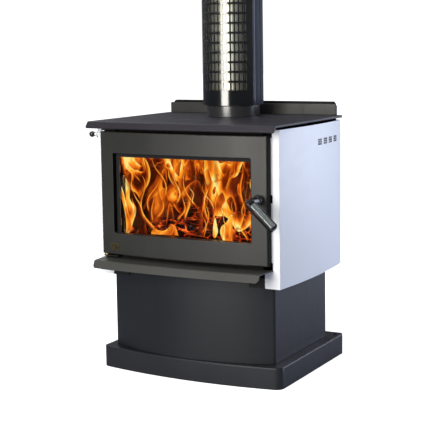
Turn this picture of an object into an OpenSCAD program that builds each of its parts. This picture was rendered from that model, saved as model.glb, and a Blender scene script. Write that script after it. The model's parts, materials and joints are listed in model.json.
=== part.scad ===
// Freestanding wood burning stove on a pedestal, with a side-hinged glass door, a turning
// handle with a cam latch, a push-pull air control and a perforated flue shield.
// The origin is on the floor under the middle of the plinth; the door faces -Y.

/* [Plinth and pedestal] */
// Width of the plinth
base_w = 640; // [630:1:660]
// Depth of the plinth from its rear edge to the middle of its bowed front
base_d = 512; // [510:1:530]
// Height of the plinth
base_h = 67; // [50:1:75]
// How far the plinth's front bows forward
base_bow = 32; // [24:1:36]
// Width of the pedestal
pedestal_w = 572; // [568:1:574]
// Height of the pedestal's top edge above the floor
pedestal_top = 338; // [300:1:360]
// How far the pedestal's front bows forward
pedestal_bow = 58; // [57:1:60]

/* [Firebox] */
// Outer width of the steel firebox
firebox_w = 524; // [518:1:526]
// Thickness of the firebox plates
firebox_t = 5; // [4:0.5:6]
// Width of the fuel opening
fuel_w = 478; // [470:1:480]
// Height of the fuel opening
fuel_h = 258; // [250:1:260]
// Thickness of the firebricks
brick_t = 25; // [20:1:25]

/* [Casing] */
// Outer width across the front edges of the side panels
casing_w = 640; // [640:1:646]
// How far each side panel bows outward
panel_bow = 13; // [8:1:14]
// Width of the cooktop plate
top_w = 656; // [650:1:664]
// Thickness of the cooktop plate
top_t = 8; // [6:0.5:8]
// Width of the upstand behind the cooktop
upstand_w = 620; // [560:1:630]

/* [Door] */
// Width of the door
door_w = 586; // [584:1:588]
// Height of the door
door_h = 388; // [386:1:388]
// How far the door's face bows forward
door_bow = 22; // [20:1:23]
// Width of the window in the door skin
window_w = 486; // [478:1:486]
// Height of the window in the door skin
window_h = 254; // [246:1:254]

/* [Handle] */
// Length of the handle's grip
grip_l = 113; // [90:1:120]
// Width of the grip's square section
grip_w = 26; // [22:1:28]
// Angle of the grip below the horizontal
grip_angle = 42; // [38:1:45]

/* [Flue] */
// Outer diameter of the flue pipe
flue_d = 150; // [148:1:150]
// Outer diameter of the flue shield
shield_d = 199; // [197:1:201]
// Length of the flue shield
shield_l = 420; // [320:1:620]
// Spacing of the shield's slot rows
row_pitch = 31; // [28:1:36]

/* [Hidden] */
$fn = 64;
eps = 0.02;
gap = 0.2;
far = 1000;
curve = 256; // segment count on the large bows
sheet = 2.5;
thin = 1.5;
// heights, built up from the pedestal's top edge
shell_z0 = pedestal_top + 4;
shell_z1 = shell_z0 + 430;
frame_z1 = shell_z1 + 4;
panel_z0 = pedestal_top - 31;
panel_z1 = shell_z1 + 10;
shelf_z = shell_z0 + 22;
top_z = shell_z1 + 26;
rear_top = top_z + 43;
// lateral faces, front to back
base_back = 256;
base_corner = 26;
pedestal_back_y = 184.5;
pedestal_front_y = -251.5;
flange_y = -226;
flange_t = 2;
flange_w = 50;
flange_notch = 27;
frame_front = -222;
frame_t = 8;
shell_front = frame_front + frame_t;
shell_back = 170;
panel_back = 244;
panel_mid_y = (flange_y + panel_back) / 2;
panel_half = (panel_back - flange_y) / 2;
panel_lean = 2;
bracket_t = 3;
// lining
fit = 0.4;
brick_z0 = shell_z0 + firebox_t + gap;
hearth_z = brick_z0 + brick_t;
brick_h = 248;
joint_w = 0.8;
tube_r = 12;
tube_ys = [-110, -10, 90];
baffle_z = shell_z0 + 306;
baffle_t = 8;
manifold_z = shell_z1 - 42;
slide_z = manifold_z + 3.2;
// door stack
door_z0 = shell_z0 + 36;
door_z1 = door_z0 + door_h;
door_front_y = -273.5;
door_back_y = -229;
fuel_z0 = door_z0 + 56;
window_z0 = door_z0 + 68;
inner_y = -240;
inner_t = 3;
inner_back = inner_y + inner_t;
sight_w = 464;
sight_z0 = window_z0 - 4;
sight_h = 244;
glass_lap = 7.3;
gasket_t = 1.5;
glass_t = 4;
glass_back = inner_back + gasket_t + glass_t;
rope_w = 10;
// hinge
hinge_x = 7 - door_w / 2;
hinge_y = -238;
pin_r = 4;
lug_t = 4;
lug_r = 9;
block_x = 18 - door_w / 2;
block_h = 15;
// latch
spindle_x = door_w / 2 - 26;
spindle_z = door_z0 + 199;
spindle_r = 5;
catch_x = door_w / 2 - 17;
catch_w = 12;
cam_y = -231.9;
cam_t = 4.5;
cam_angle = 25;
cam_hub_r = 7.5;
escutcheon_r = 17;
escutcheon_t = 5;
boss_back = -264.5;
boss_r = 15.5;
boss_l = 12.5;
boss_front = boss_back - boss_l;
grip_y = -320;
grip_start = -3;
grip_end = grip_start + grip_l;
insert_w = 15;
insert_t = 1.6;
insert_sink = 0.8;
insert_lead = 17;
insert_margin = 6;
// air control
rod_y = -205;
rod_z = shell_z1 - 20;
rod_r = 4.5;
air_travel = 40;
knob_x = -355;
knob_r = 9.5;
guide_x = -334;
// cooktop and upstand
top_front_y = -277.5;
top_bow = 12;
top_back = 229;
upstand_y = 213.5;
upstand_h = 36;
rear_panel_y = 229.5;
rear_panel_w = 612;
// shelf
shelf_t = 3;
shelf_front_y = -315.1;
shelf_bow = 13;
shelf_half = 291;
// flue
flue_y = 96;
collar_r = 86;
collar_top = top_z + 38;
shield_z0 = collar_top + 0.5;
shield_t = 1;
shield_r = shield_d / 2;
flue_r = flue_d / 2;
flue_t = 2;
flue_top = shield_z0 + shield_l + 33.5;
slot_w = 8.3;
slot_h = 24;
slot_step = 7.8; // degrees
slot_columns = 14;
plain_band = 49;
sheet_half_angle = 69; // corner angle of the shield sheet, either side of the front
rail_lap = 5;
rail_depth = 24;
// floor fixing
fixing_x = 300;
fixing_y = 230;
fixing_r = 6;
access_r = 8;

// ---- geometry helpers ----

// radius of the arc that rises by sag over a half chord
function bow_radius(half, sag) = (half * half + sag * sag) / (2 * sag);

// box from two corners
module box(a, b) {
  translate(a)
    cube([b[0] - a[0], b[1] - a[1], b[2] - a[2]]);
}

// mirrored copies across the middle plane
module both_sides() {
  children();
  mirror([1, 0, 0])
    children();
}

// 2D rectangle with rounded corners, centred in X, standing on Y = 0
module round_rect(w, h, r) {
  translate([-w / 2 + r, 0])
    square([w - 2 * r, h]);
  translate([-w / 2, r])
    square([w, h - 2 * r]);
  for (x = [-w / 2 + r, w / 2 - r], y = [r, h - r])
    translate([x, y])
      circle(r);
}

// 2D frame between two rounded rectangles
module round_ring(w, h, wall, r) {
  difference() {
    round_rect(w, h, r);
    translate([0, wall])
      round_rect(w - 2 * wall, h - 2 * wall, max(r - wall, 1));
  }
}

// stands a 2D X-Z outline up and gives it depth from y0 to y1
module upright(y0, y1, z = 0) {
  translate([0, y1, z])
    rotate([90, 0, 0])
      linear_extrude(y1 - y0)
        children();
}

// 2D area that rounds a corner off: a wedge from angle a0 to a1 less its circle
module corner_waste(c, r, a0, a1) {
  am = (a0 + a1) / 2;
  reach = 3 * r;
  translate(c)
    difference() {
      polygon([[0, 0], reach * [cos(a0), sin(a0)], 1.5 * reach * [cos(am), sin(am)],
        reach * [cos(a1), sin(a1)]]);
      circle(r, $fn = 96);
    }
}

// 2D plan with a bowed front, straight sides and rounded front and rear corners
module bowed_plan(half, front, sag_radius, back, r_front, r_back) {
  cy = front + sag_radius;
  corner_x = half - r_front;
  tilt = asin(corner_x / (sag_radius - r_front));
  corner_y = cy - (sag_radius - r_front) * cos(tilt);
  difference() {
    intersection() {
      translate([-half, front - 1])
        square([2 * half, back - front + 1]);
      translate([0, cy])
        circle(sag_radius, $fn = curve);
    }
    both_sides() {
      corner_waste([corner_x, corner_y], r_front, tilt - 90, 0);
      if (r_back > 0)
        corner_waste([half - r_back, back - r_back], r_back, 0, 90);
    }
  }
}

// sweeps a 2D profile (X forward of the bow line, Y up) along a front bow
module bow_sweep(half, front, sag) {
  r = bow_radius(half, sag);
  reach = asin(1.15 * half / (r - 600));
  translate([0, front + r, 0])
    rotate_extrude(angle = 2 * reach, start = 270 - reach, $fn = curve)
      translate([r, 0])
        children();
}

// points along an arc
function arc_points(c, r, a0, a1, n = 6) =
  [for (i = [0 : n]) c + r * [cos(a0 + (a1 - a0) * i / n), sin(a0 + (a1 - a0) * i / n)]];

// outline of a plate of thickness t whose front is folded down by an angle into a lip:
// X is forward of the bow line and Y is up; the lip has a bend of radius r and a round nose
function lip_outline(back, z, t, r, angle, length) = let (
    corner = [r * tan(angle / 2) / 2, z],
    along = [cos(angle), -sin(angle)],
    inward = [-sin(angle), -cos(angle)],
    bend = corner - [r * tan(angle / 2), r],
    nose = corner + length * along + t / 2 * inward
  ) concat(
    [[-back, z]],
    arc_points(bend, r, 90, 90 - angle),
    arc_points(nose, t / 2, 90 - angle, -90 - angle),
    [corner + t * [-tan(angle / 2), -1], [-back, z - t]]
  );

// upright cylinder along Y
module y_cylinder(x, z, r, y0, y1) {
  translate([x, y1, z])
    rotate([90, 0, 0])
      cylinder(h = y1 - y0, r = r);
}

// cylinder along X
module x_cylinder(y, z, r, x0, x1) {
  translate([x0, y, z])
    rotate([0, 90, 0])
      cylinder(h = x1 - x0, r = r);
}

// ---- plinth and pedestal ----

base_front_y = base_back - base_d;
base_radius = bow_radius(base_w / 2, base_bow);
pedestal_radius = bow_radius(pedestal_w / 2, pedestal_bow);

module plinth_solid(inset, h) {
  r = 4;
  intersection() {
    linear_extrude(h)
      bowed_plan(base_w / 2 - inset, base_front_y + inset, base_radius - inset,
        base_back - inset, base_corner - inset, 12 - inset);
    bow_sweep(base_w / 2 - inset, base_front_y + inset, base_bow)
      difference() {
        translate([-600, 0])
          square([600, h]);
        corner_waste([-r, h - r], r, 0, 90);
      }
    translate([0, 300, 0])
      rotate([90, 0, 0])
        linear_extrude(600)
          difference() {
            translate([-base_w / 2 + inset, 0])
              square([base_w - 2 * inset, h]);
            both_sides()
              corner_waste([base_w / 2 - inset - r, h - r], r, 0, 90);
          }
  }
}

module base_plinth() {
  wall = 3;
  color("#2e3133")
    difference() {
      plinth_solid(0, base_h);
      translate([0, 0, -1])
        linear_extrude(base_h - wall + 1)
          bowed_plan(base_w / 2 - wall, base_front_y + wall, base_radius - wall,
            base_back - wall, base_corner - wall, 9);
      for (x = [-fixing_x, fixing_x])
        translate([x, fixing_y, base_h / 2])
          cylinder(h = base_h, r = access_r);
    }
}

module floor_plate() {
  inset = 3.3;
  color("#2b2d30")
    difference() {
      linear_extrude(5)
        bowed_plan(base_w / 2 - inset, base_front_y + inset, base_radius - inset,
          base_back - inset, base_corner - inset, 9);
      for (x = [-fixing_x, fixing_x])
        translate([x, fixing_y, -1])
          cylinder(h = 7, r = fixing_r);
    }
}

module pedestal_skin() {
  half = pedestal_w / 2;
  color("#262a2e")
    translate([0, 0, base_h])
      linear_extrude(pedestal_top - base_h)
        difference() {
          bowed_plan(half, pedestal_front_y, pedestal_radius, pedestal_back_y, 8, 0);
          bowed_plan(half - sheet, pedestal_front_y + sheet, pedestal_radius - sheet,
            pedestal_back_y + 10, 8 - sheet, 0);
        }
}

module pedestal_back() {
  half = pedestal_w / 2 - sheet - gap;
  slots = 7;
  pitch = 60;
  color("#262a2e")
    difference() {
      box([-half, pedestal_back_y - sheet, base_h], [half, pedestal_back_y, pedestal_top]);
      for (i = [0 : slots - 1])
        translate([(i - (slots - 1) / 2) * pitch, pedestal_back_y - 6, pedestal_top - 60])
          cube([8, 10, 40]);
    }
}

module pedestal_top_plate() {
  color("#2b2d30")
    difference() {
      translate([0, 0, pedestal_top])
        linear_extrude(shell_z0 - pedestal_top)
          bowed_plan(pedestal_w / 2, pedestal_front_y, pedestal_radius, pedestal_back_y, 8, 0);
      for (x = [-180, 180], y = [-120, 110])
        translate([x, y, pedestal_top - 1])
          cylinder(h = 8, r = 6);
    }
}

module lower_rails() {
  color("#2b2b2e")
    both_sides()
      box([214, flange_y + flange_t + gap, panel_z0 - 1],
        [300, flange_y + flange_t + gap + bracket_t, pedestal_top]);
}

// ---- ash shelf ----

module ash_shelf() {
  corner_r = 12;
  side = [[268.5, frame_front - gap], [268.5, flange_y - 0.5], [298, flange_y - 0.5],
    [297, flange_y - 12], [shelf_half, -302], [shelf_half, -340]];
  outline = concat(side, [for (i = [len(side) - 1 : -1 : 0]) [-side[i][0], side[i][1]]]);
  color("#50504a")
    difference() {
      intersection() {
        bow_sweep(shelf_half, shelf_front_y, shelf_bow)
          polygon(lip_outline(96, shelf_z, shelf_t, 4, 62, 25));
        translate([0, 0, shelf_z - 64])
          linear_extrude(100)
            polygon(outline);
      }
      both_sides()
        upright(-350, -296)
          corner_waste([shelf_half - corner_r, shelf_z - 24 + corner_r], corner_r, -90, 0);
    }
}

module shelf_brackets() {
  t = 4;
  z1 = shelf_z - shelf_t - gap;
  color("#2b2b2e")
    for (x = [-170, 170])
      translate([x - t / 2, 0, 0])
        rotate([90, 0, 90])
          linear_extrude(t)
            polygon([[frame_front - gap, z1], [-296, z1], [-296, z1 - 4.8], [-256, shell_z0 + 1],
              [frame_front - gap, shell_z0 + 1]]);
}

// ---- firebox ----

module firebox_shell() {
  half = firebox_w / 2;
  t = firebox_t;
  color("#232323")
    difference() {
      box([-half, shell_front, shell_z0], [half, shell_back, shell_z1]);
      box([-half + t, shell_front - 1, shell_z0 + t], [half - t, shell_back - t, shell_z1 - t]);
      translate([0, flue_y, shell_z1 - 10])
        cylinder(h = 20, r = flue_r - flue_t);
      x_cylinder(rod_y, rod_z, rod_r + 1.5, -half - 1, -half + t + 1);
    }
}

module firebox_front() {
  color("#232323")
    difference() {
      box([-firebox_w / 2, frame_front, shell_z0], [firebox_w / 2, shell_front, frame_z1]);
      upright(frame_front - 1, shell_front + 1, fuel_z0)
        round_rect(fuel_w, fuel_h, 12);
    }
}

module log_retainer() {
  half = 226;
  color("#2c2a28")
    difference() {
      union() {
        box([-half, -200, hearth_z + gap], [half, -196, hearth_z + 46]);
        both_sides()
          box([half - 4, -196, hearth_z + gap], [half, -176, hearth_z + 46]);
      }
      for (i = [-4 : 4])
        box([i * 46 - 15, -202, hearth_z + 16], [i * 46 + 15, -194, hearth_z + 28]);
    }
}

module brick_floor() {
  half = firebox_w / 2 - firebox_t - fit;
  y0 = shell_front + fit;
  y1 = shell_back - firebox_t - fit;
  step = 2 * half / 4;
  color("#c9b48c")
    for (i = [0 : 3])
      box([-half + i * step, y0, brick_z0], [-half + (i + 1) * step - joint_w, y1, hearth_z]);
}

module side_bricks() {
  x1 = firebox_w / 2 - firebox_t - fit;
  y0 = shell_front + fit;
  step = 118;
  for (i = [0 : 2])
    box([x1 - brick_t, y0 + i * step, hearth_z + gap],
      [x1, y0 + (i + 1) * step - joint_w, hearth_z + brick_h]);
}

module brick_left() {
  color("#c9b48c")
    mirror([1, 0, 0])
      side_bricks();
}

module brick_right() {
  color("#c9b48c")
    side_bricks();
}

module brick_rear() {
  half = firebox_w / 2 - firebox_t - brick_t - 2 * fit;
  y1 = shell_back - firebox_t - gap;
  step = 2 * half / 4;
  color("#c9b48c")
    for (i = [0 : 3])
      box([-half + i * step, y1 - brick_t + fit, hearth_z + gap],
        [-half + (i + 1) * step - joint_w, y1, hearth_z + brick_h]);
}

module baffle_plate() {
  half = firebox_w / 2 - firebox_t - 1;
  color("#8d8478")
    box([-half, -150, baffle_z], [half, shell_back - firebox_t - gap, baffle_z + baffle_t]);
}

module air_tubes() {
  half = firebox_w / 2 - firebox_t - gap;
  tube_z = baffle_z - tube_r - gap;
  color("#4c4a48")
    for (y = tube_ys)
      difference() {
        x_cylinder(y, tube_z, tube_r, -half, half);
        x_cylinder(y, tube_z, tube_r - 2, -half - 1, half + 1);
        for (i = [-4 : 4])
          translate([i * 50, y, tube_z])
            rotate([60, 0, 0])
              cylinder(h = tube_r + 2, r = 2.5);
      }
}

module air_manifold() {
  half = firebox_w / 2 - firebox_t - 1;
  y0 = shell_front + fit;
  y1 = -185;
  z0 = manifold_z;
  z1 = shell_z1 - firebox_t - fit;
  w = 2;
  color("#4c4a48")
    difference() {
      box([-half, y0, z0], [half, y1, z1]);
      box([-half + w, y0 + w, z0 + w], [half - w, y1 - w, z1 - w]);
      x_cylinder(rod_y, rod_z, rod_r + 1.5, -half - 1, -half + w + 1);
      for (i = [-1.5 : 1 : 1.5])
        box([i * 100 - 25, -204, z0 - 1], [i * 100 + 25, -196, z0 + w + 1]);
      for (i = [-2 : 2])
        box([i * 90 - 12, y1 - w - 1, z1 - 16], [i * 90 + 12, y1 + 1, z1 - 8]);
    }
}

// ---- casing ----

// 2D plan of one side panel: a bowed sheet with a front and a rear return
module panel_plan() {
  half_width = casing_w / 2 - panel_lean;
  r = bow_radius(panel_half, panel_bow);
  front_x = casing_w / 2;
  rear_x = casing_w / 2 - 2 * panel_lean;
  difference() {
    union() {
      intersection() {
        translate([half_width, panel_mid_y])
          rotate(asin(panel_lean / panel_half))
            translate([panel_bow - r, 0])
              difference() {
                circle(r, $fn = curve);
                circle(r - flange_t, $fn = curve);
              }
        translate([200, flange_y])
          square([200, panel_back - flange_y]);
      }
      translate([front_x - flange_w, flange_y])
        square([flange_w - 1, flange_t]);
      translate([rear_x - 22, panel_back - flange_t])
        square([21, flange_t]);
    }
    corner_waste([front_x - 2.2, flange_y + 2.5], 2.5, -90, 2);
    corner_waste([rear_x - 2.2, panel_back - 2.5], 2.5, -2, 90);
  }
}

module side_panel() {
  rows = 3;
  columns = 5;
  vent_y = 45.5;
  vent_step = 45.7;
  vent_z = panel_z1 - 56;
  difference() {
    translate([0, 0, panel_z0])
      linear_extrude(panel_z1 - panel_z0)
        panel_plan();
    for (span = [[shelf_z - shelf_t, door_z0 + 8], [spindle_z - 12, spindle_z + 12],
        [door_z1 - 8, panel_z1 + 1]])
      box([casing_w / 2 - flange_w - 1, flange_y - 1, span[0]],
        [casing_w / 2 - flange_w + flange_notch, flange_y + flange_t + 0.5, span[1]]);
    for (block = [0 : 3], i = [0 : columns - 1], j = [0 : rows - 1])
      translate([300, vent_y + vent_step * block + (i - 2) * 6.2 - 2.5, vent_z + (j - 1) * 6.8 - 2.8])
        cube([60, 5, 5.6]);
  }
}

module side_panel_right() {
  color("#e6ebf5")
    side_panel();
}

module side_panel_left() {
  color("#e6ebf5")
    difference() {
      mirror([1, 0, 0])
        side_panel();
      x_cylinder(rod_y, rod_z, 8.1, -345, -300);
    }
}

module panel_brackets() {
  color("#2b2b2e")
    both_sides()
      for (z = [shell_z0 + 58, shell_z0 + 348])
        box([firebox_w / 2 + gap, flange_y + flange_t + gap, z],
          [302, flange_y + flange_t + gap + bracket_t, z + 40]);
}

module rear_panel() {
  half = rear_panel_w / 2;
  z0 = panel_z0 + 13;
  r = 10;
  color("#55555f")
    difference() {
      union() {
        upright(rear_panel_y, rear_panel_y + thin, z0)
          difference() {
            translate([-half, 0])
              square([2 * half, rear_top - z0]);
            both_sides()
              corner_waste([half - r, rear_top - z0 - r], r, 0, 90);
          }
        box([-half + r, rear_panel_y, rear_top - thin], [half - r, rear_panel_y + 12, rear_top]);
      }
      for (i = [-4 : 4], z = [z0 + 60, z0 + 400])
        box([i * 56 - 18, rear_panel_y - 1, z], [i * 56 + 18, rear_panel_y + thin + 0.05, z + 8]);
    }
}

module rear_upstand() {
  half = upstand_w / 2;
  color("#3c3a40")
    union() {
      upright(upstand_y, upstand_y + thin, top_z + gap)
        difference() {
          translate([-half, 0])
            square([2 * half, upstand_h]);
          both_sides()
            corner_waste([half - 5, upstand_h - 5], 5, 0, 90);
        }
      box([-half, upstand_y, top_z + gap], [half, rear_panel_y - gap, top_z + gap + thin]);
      both_sides()
        box([half - thin, upstand_y, top_z + gap], [half, rear_panel_y - gap, top_z + upstand_h - 5]);
    }
}

module top_spacers() {
  color("#2b2b2e")
    for (x = [-200, 200], y = [-150, 140])
      box([x - 15, y - 15, shell_z1], [x + 15, y + 15, top_z - top_t]);
}

module top_plate() {
  half = top_w / 2;
  edge = 3;
  lip_r = 9;
  color("#4a484c")
    difference() {
      intersection() {
        bow_sweep(half, top_front_y, top_bow)
          polygon(lip_outline(540, top_z, top_t, 6, 51, 19.5));
        box([-half, -320, top_z - 60], [half, top_back, top_z + 1]);
        translate([0, 400, 0])
          rotate([90, 0, 0])
            linear_extrude(far)
              difference() {
                translate([-half, top_z - 50])
                  square([top_w, 50]);
                both_sides()
                  corner_waste([half - edge, top_z - edge], edge, 0, 90);
              }
      }
      both_sides()
        upright(-330, -270)
          corner_waste([half - lip_r, top_z - 24 + lip_r], lip_r, -90, 0);
      translate([0, flue_y, top_z - 20])
        cylinder(h = 40, r = collar_r - 5);
    }
}

// ---- flue ----

module tube(r0, r1, z0, z1) {
  translate([0, flue_y, z0])
    difference() {
      cylinder(h = z1 - z0, r = r1);
      translate([0, 0, -1])
        cylinder(h = z1 - z0 + 2, r = r0);
    }
}

module flue_spigot() {
  color("#232323")
    tube(flue_r + 0.3, flue_r + 4, shell_z1, shell_z1 + 40);
}

module flue_collar() {
  r = collar_r;
  color("#2e2e32")
    translate([0, flue_y, top_z])
      rotate_extrude($fn = 96)
        difference() {
          translate([r - 6.5, 0])
            square([6.5, collar_top - top_z]);
          corner_waste([r - 2.5, collar_top - top_z - 2.5], 2.5, 0, 90);
        }
}

module flue_pipe() {
  color("#b9bcc0")
    tube(flue_r - flue_t, flue_r, shell_z1, flue_top);
}

// 2D part of a ring between two angles either side of the front
module front_sector(r0, r1, a0, a1) {
  reach = 3 * r1;
  intersection() {
    difference() {
      circle(r1, $fn = 192);
      circle(r0, $fn = 192);
    }
    polygon([[0, 0], for (a = [a0 : (a1 - a0) / 4 : a1 + eps]) reach * [sin(a), -cos(a)]]);
  }
}

module flue_shield() {
  rows = floor((shield_l - 2 * plain_band) / row_pitch);
  color("#1c1c1e")
    translate([0, flue_y, shield_z0])
      difference() {
        linear_extrude(shield_l)
          front_sector(shield_r - shield_t, shield_r, -sheet_half_angle, sheet_half_angle);
        for (i = [0 : slot_columns - 1], j = [0 : rows - 1])
          rotate([0, 0, (i - (slot_columns - 1) / 2) * slot_step])
            translate([-slot_w / 2, -shield_r - 3, plain_band + j * row_pitch])
              cube([slot_w, 12, slot_h]);
      }
}

module shield_rail() {
  r = shield_r - shield_t - gap;
  translate([0, flue_y, shield_z0])
    linear_extrude(shield_l) {
      front_sector(r - shield_t, r, sheet_half_angle - rail_lap, 90);
      translate([r - shield_t, -eps])
        square([shield_t, rail_depth]);
      translate([r - 12, rail_depth - shield_t])
        square([12, shield_t]);
    }
}

module shield_rail_right() {
  color("#4a4c58")
    shield_rail();
}

module shield_rail_left() {
  color("#4a4c58")
    mirror([1, 0, 0])
      shield_rail();
}

module shield_brackets() {
  band = 1.5;
  band_h = 12;
  arm_end = shield_r - 2 * shield_t - 2 * gap;
  color("#8c8e92")
    for (z = [shield_z0 + 20, shield_z0 + shield_l - 20 - band_h])
      translate([0, flue_y, z])
        linear_extrude(band_h)
          difference() {
            union() {
              circle(flue_r + band, $fn = 96);
              for (a = [-75, -25, 25, 75])
                rotate(a)
                  translate([-1, -arm_end])
                    square([2, arm_end - flue_r + 5]);
            }
            circle(flue_r, $fn = 96);
          }
}

// ---- fixed hinge, latch and guide parts ----

module hinge_lug(z) {
  root_x = 240;
  translate([0, 0, z])
    linear_extrude(lug_t)
      difference() {
        union() {
          translate([hinge_x, hinge_y])
            circle(lug_r);
          translate([hinge_x, hinge_y - lug_r])
            square([-root_x - hinge_x, 2 * lug_r]);
          translate([-firebox_w / 2 + 1, hinge_y])
            square([firebox_w / 2 - 1 - root_x, frame_front - hinge_y]);
        }
        translate([hinge_x, hinge_y])
          circle(pin_r + 0.06);
      }
}

module hinge_lugs() {
  color("#3a3a3c") {
    hinge_lug(door_z0 - 10);
    hinge_lug(door_z1 + 3.5);
  }
}

module hinge_washers() {
  color("#b08d4a")
    translate([hinge_x, hinge_y, door_z0 - 10 + lug_t + gap])
      difference() {
        cylinder(h = 5.5, r = 8);
        translate([0, 0, -1])
          cylinder(h = 8, r = pin_r + 0.3);
      }
}

module latch_catch() {
  plate_y = -235.5;
  foot_y = flange_y - gap;
  x1 = catch_x + catch_w;
  z = spindle_z - 26;
  color("#8c8e92")
    union() {
      box([catch_x, plate_y, z], [x1, plate_y + 3, z + 21.5]);
      box([catch_x, plate_y, z - 3], [x1, foot_y, z]);
      box([catch_x, foot_y - 2.5, z - 26], [x1, foot_y, z]);
    }
}

module rod_guide() {
  color("#8c8e92")
    difference() {
      union() {
        x_cylinder(rod_y, rod_z, 7.9, guide_x, guide_x + 24);
        x_cylinder(rod_y, rod_z, 11, guide_x, guide_x + 3);
      }
      x_cylinder(rod_y, rod_z, rod_r + 0.05, guide_x - 6, guide_x + 34);
    }
}

// ---- air control ----

module air_slide_plate() {
  half = 195;
  t = 2;
  color("#8c8e92")
    difference() {
      union() {
        box([-half, -211, slide_z], [half, -188, slide_z + t]);
        box([-half, -211, slide_z + t - eps], [-half + 12, -199, rod_z + 7]);
      }
      x_cylinder(rod_y, rod_z, rod_r, -half - 5, -half + 15);
      for (i = [-1.5 : 1 : 1.5])
        translate([i * 100 + air_travel - 30, -204, slide_z - 1])
          cube([45, 8, t + 2]);
    }
}

module air_rod() {
  color("#8c8e92")
    x_cylinder(rod_y, rod_z, rod_r, knob_x + 3, -183);
}

// ball with a short neck, turned about the rod
module air_knob() {
  neck_r = 6.5;
  color("#1a1a1c")
    translate([knob_x, rod_y, rod_z])
      rotate([0, 90, 0])
        rotate_extrude()
          difference() {
            union() {
              intersection() {
                circle(knob_r);
                translate([0, -knob_r - 1])
                  square([knob_r + 1, 2 * knob_r + 2]);
              }
              square([neck_r, knob_r + 2]);
            }
            translate([-1, 3])
              square([rod_r + 1, knob_r + 10]);
          }
}

// ---- door ----

door_radius = bow_radius(door_w / 2, door_bow);

// everything behind the door's face, stood off by inset
module behind_face(inset) {
  translate([0, door_front_y + door_radius, door_z0 - 50])
    cylinder(h = door_h + 100, r = door_radius - inset, $fn = curve);
}

module door_skin() {
  half = door_w / 2;
  r = 5;
  tilt = asin((half - r) / (door_radius - r));
  corner_y = door_front_y + door_radius - (door_radius - r) * cos(tilt);
  color("#464641")
    difference() {
      union() {
        difference() {
          intersection() {
            bow_sweep(half, door_front_y, door_bow)
              difference() {
                translate([-60, door_z0])
                  square([60, door_h]);
                corner_waste([-3, door_z0 + 3], 3, -90, 0);
                corner_waste([-3, door_z1 - 3], 3, 0, 90);
              }
            box([-half, -300, door_z0 - 1], [half, door_back_y, door_z1 + 1]);
          }
          intersection() {
            behind_face(sheet);
            box([-half + sheet, -300, door_z0 + sheet], [half - sheet, far, door_z1 - sheet]);
          }
          both_sides()
            translate([0, 0, door_z0 - 1])
              linear_extrude(door_h + 2)
                corner_waste([half - r, corner_y], r, tilt - 90, 0);
        }
        intersection() {
          behind_face(sheet / 2);
          upright(-300, inner_y - gap, window_z0 - 2)
            round_rect(window_w + 4, window_h + 4, 8);
        }
      }
      upright(-310, -200, window_z0)
        round_rect(window_w, window_h, 6);
      for (z = [door_z0, door_z1])
        translate([hinge_x, hinge_y, z - 5])
          cylinder(h = 10, r = pin_r + 0.5);
      y_cylinder(spindle_x, spindle_z, spindle_r + 1, -270, -245);
    }
}

module door_inner_frame() {
  half = door_w / 2 - sheet - 0.3;
  z0 = door_z0 + sheet + 0.3;
  z1 = door_z1 - sheet - 0.3;
  color("#2b2b2e")
    difference() {
      box([-half, inner_y, z0], [half, inner_back, z1]);
      upright(-250, -200, sight_z0)
        round_rect(sight_w, sight_h, 4);
      for (z = [z0 - 5, z1 - block_h - 1])
        box([-half - 1, inner_y - 1, z], [block_x + 1, inner_back + 1, z + block_h + 6]);
      y_cylinder(spindle_x, spindle_z, 8.1, -250, -230);
    }
}

module door_glass() {
  color([0.75, 0.72, 0.65, 0.35])
    upright(inner_back + gasket_t, glass_back, sight_z0 - glass_lap)
      round_rect(sight_w + 2 * glass_lap, sight_h + 2 * glass_lap, 3);
}

module glass_gasket() {
  color("#b8b4a8")
    upright(inner_back, inner_back + gasket_t, sight_z0 - glass_lap)
      round_ring(sight_w + 2 * glass_lap, sight_h + 2 * glass_lap, glass_lap, 3);
}

module glass_clips() {
  edge = sight_w / 2 + glass_lap;
  color("#8c8e92")
    both_sides()
      for (z = [sight_z0 + 38, sight_z0 + sight_h / 2, sight_z0 + sight_h - 38])
        union() {
          box([edge - 6, glass_back, z - 12], [edge + 4, glass_back + 2, z + 12]);
          box([edge + 0.5, inner_back, z - 12], [edge + 4, glass_back + 2, z + 12]);
        }
}

module door_rope_seal() {
  w = 2 * (sight_w / 2 + glass_lap + 4.4 + rope_w);
  h = sight_h + 44;
  color("#d8d2c2")
    upright(inner_back, frame_front - 0.3, sight_z0 - 22)
      round_ring(w, h, rope_w, 20);
}

module hinge_pins() {
  color("#b9bcc0")
    for (span = [[door_z0 - 9.5, 26], [door_z1 - 18, 25]])
      translate([hinge_x, hinge_y, span[0]])
        cylinder(h = span[1], r = pin_r);
}

module hinge_blocks() {
  half = door_w / 2 - sheet - 0.3;
  color("#3a3a3c")
    for (z = [door_z0 + sheet + 0.3, door_z1 - sheet - 0.3 - block_h])
      difference() {
        box([-half, -246, z], [block_x, -230, z + block_h]);
        translate([hinge_x, hinge_y, z - 1])
          cylinder(h = block_h + 2, r = pin_r);
      }
}

module handle_bush() {
  color("#b08d4a")
    difference() {
      y_cylinder(spindle_x, spindle_z, 8, -251, inner_back + 0.5);
      y_cylinder(spindle_x, spindle_z, spindle_r + 0.05, -256, -230);
    }
}

// places a piece flat against the bowed face at one spot, with its own Z pointing outward
module on_face(x, z) {
  tilt = asin(x / door_radius);
  translate([x, door_front_y + door_radius * (1 - cos(tilt)) - eps, z])
    rotate([90, 0, tilt])
      children();
}

module door_escutcheon() {
  r = escutcheon_r;
  color("#2a2a28")
    on_face(spindle_x, spindle_z)
      rotate_extrude($fn = 96)
        difference() {
          square([r, escutcheon_t]);
          translate([0, -1])
            square([spindle_r + 2.5, 30]);
          corner_waste([r - 3, escutcheon_t - 3], 3, 0, 90);
        }
}

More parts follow.
